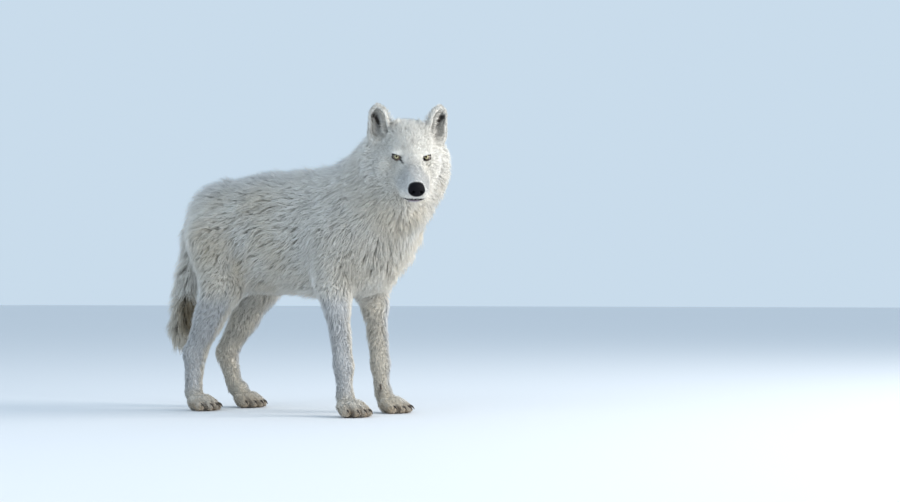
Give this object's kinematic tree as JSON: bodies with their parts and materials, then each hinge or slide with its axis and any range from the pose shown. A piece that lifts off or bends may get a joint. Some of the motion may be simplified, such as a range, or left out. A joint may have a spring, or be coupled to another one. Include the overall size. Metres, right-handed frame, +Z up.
{
  "type": "arctic wolf",
  "caption": "Life-size standing arctic wolf in its winter coat, head turned to its right, tail hanging, parted into trunk, neck, head, jaw, ears, legs, paws and tail.",
  "frame": {"origin": "on the floor, under the middle of the box round the whole wolf", "axes": "+X forward along the spine, +Y to the wolf's left, +Z up"},
  "size_m": [1.11, 0.421, 0.9264],
  "materials": {
    "coat": "dense cream-white winter fur with grey and tan tones",
    "nose": "moist black pebbled skin",
    "eye": "wet, pale amber iris with a small black pupil",
    "claw": "dark horn, dull"
  },
  "bodies": {
    "root": {"claw_fore_left_1": "claw", "claw_fore_left_2": "claw", "claw_fore_left_3": "claw", "claw_fore_left_4": "claw", "claw_fore_right_1": "claw", "claw_fore_right_2": "claw", "claw_fore_right_3": "claw", "claw_fore_right_4": "claw", "claw_hind_left_1": "claw", "claw_hind_left_2": "claw", "claw_hind_left_3": "claw", "claw_hind_left_4": "claw", "claw_hind_right_1": "claw", "claw_hind_right_2": "claw", "claw_hind_right_3": "claw", "claw_hind_right_4": "claw", "dewclaw_left": "claw", "dewclaw_right": "claw", "ear_left": "coat", "ear_right": "coat", "eye_left": "eye", "eye_right": "eye", "forearm_left": "coat", "forearm_right": "coat", "head": "coat", "lower_jaw": "coat", "neck": "coat", "nose": "nose", "paw_fore_left": "coat", "paw_fore_right": "coat", "paw_hind_left": "coat", "paw_hind_right": "coat", "shank_left": "coat", "shank_right": "coat", "tail": "coat", "thigh_left": "coat", "thigh_right": "coat", "trunk": "coat", "upper_arm_left": "coat", "upper_arm_right": "coat"}
  },
  "joints": []
}
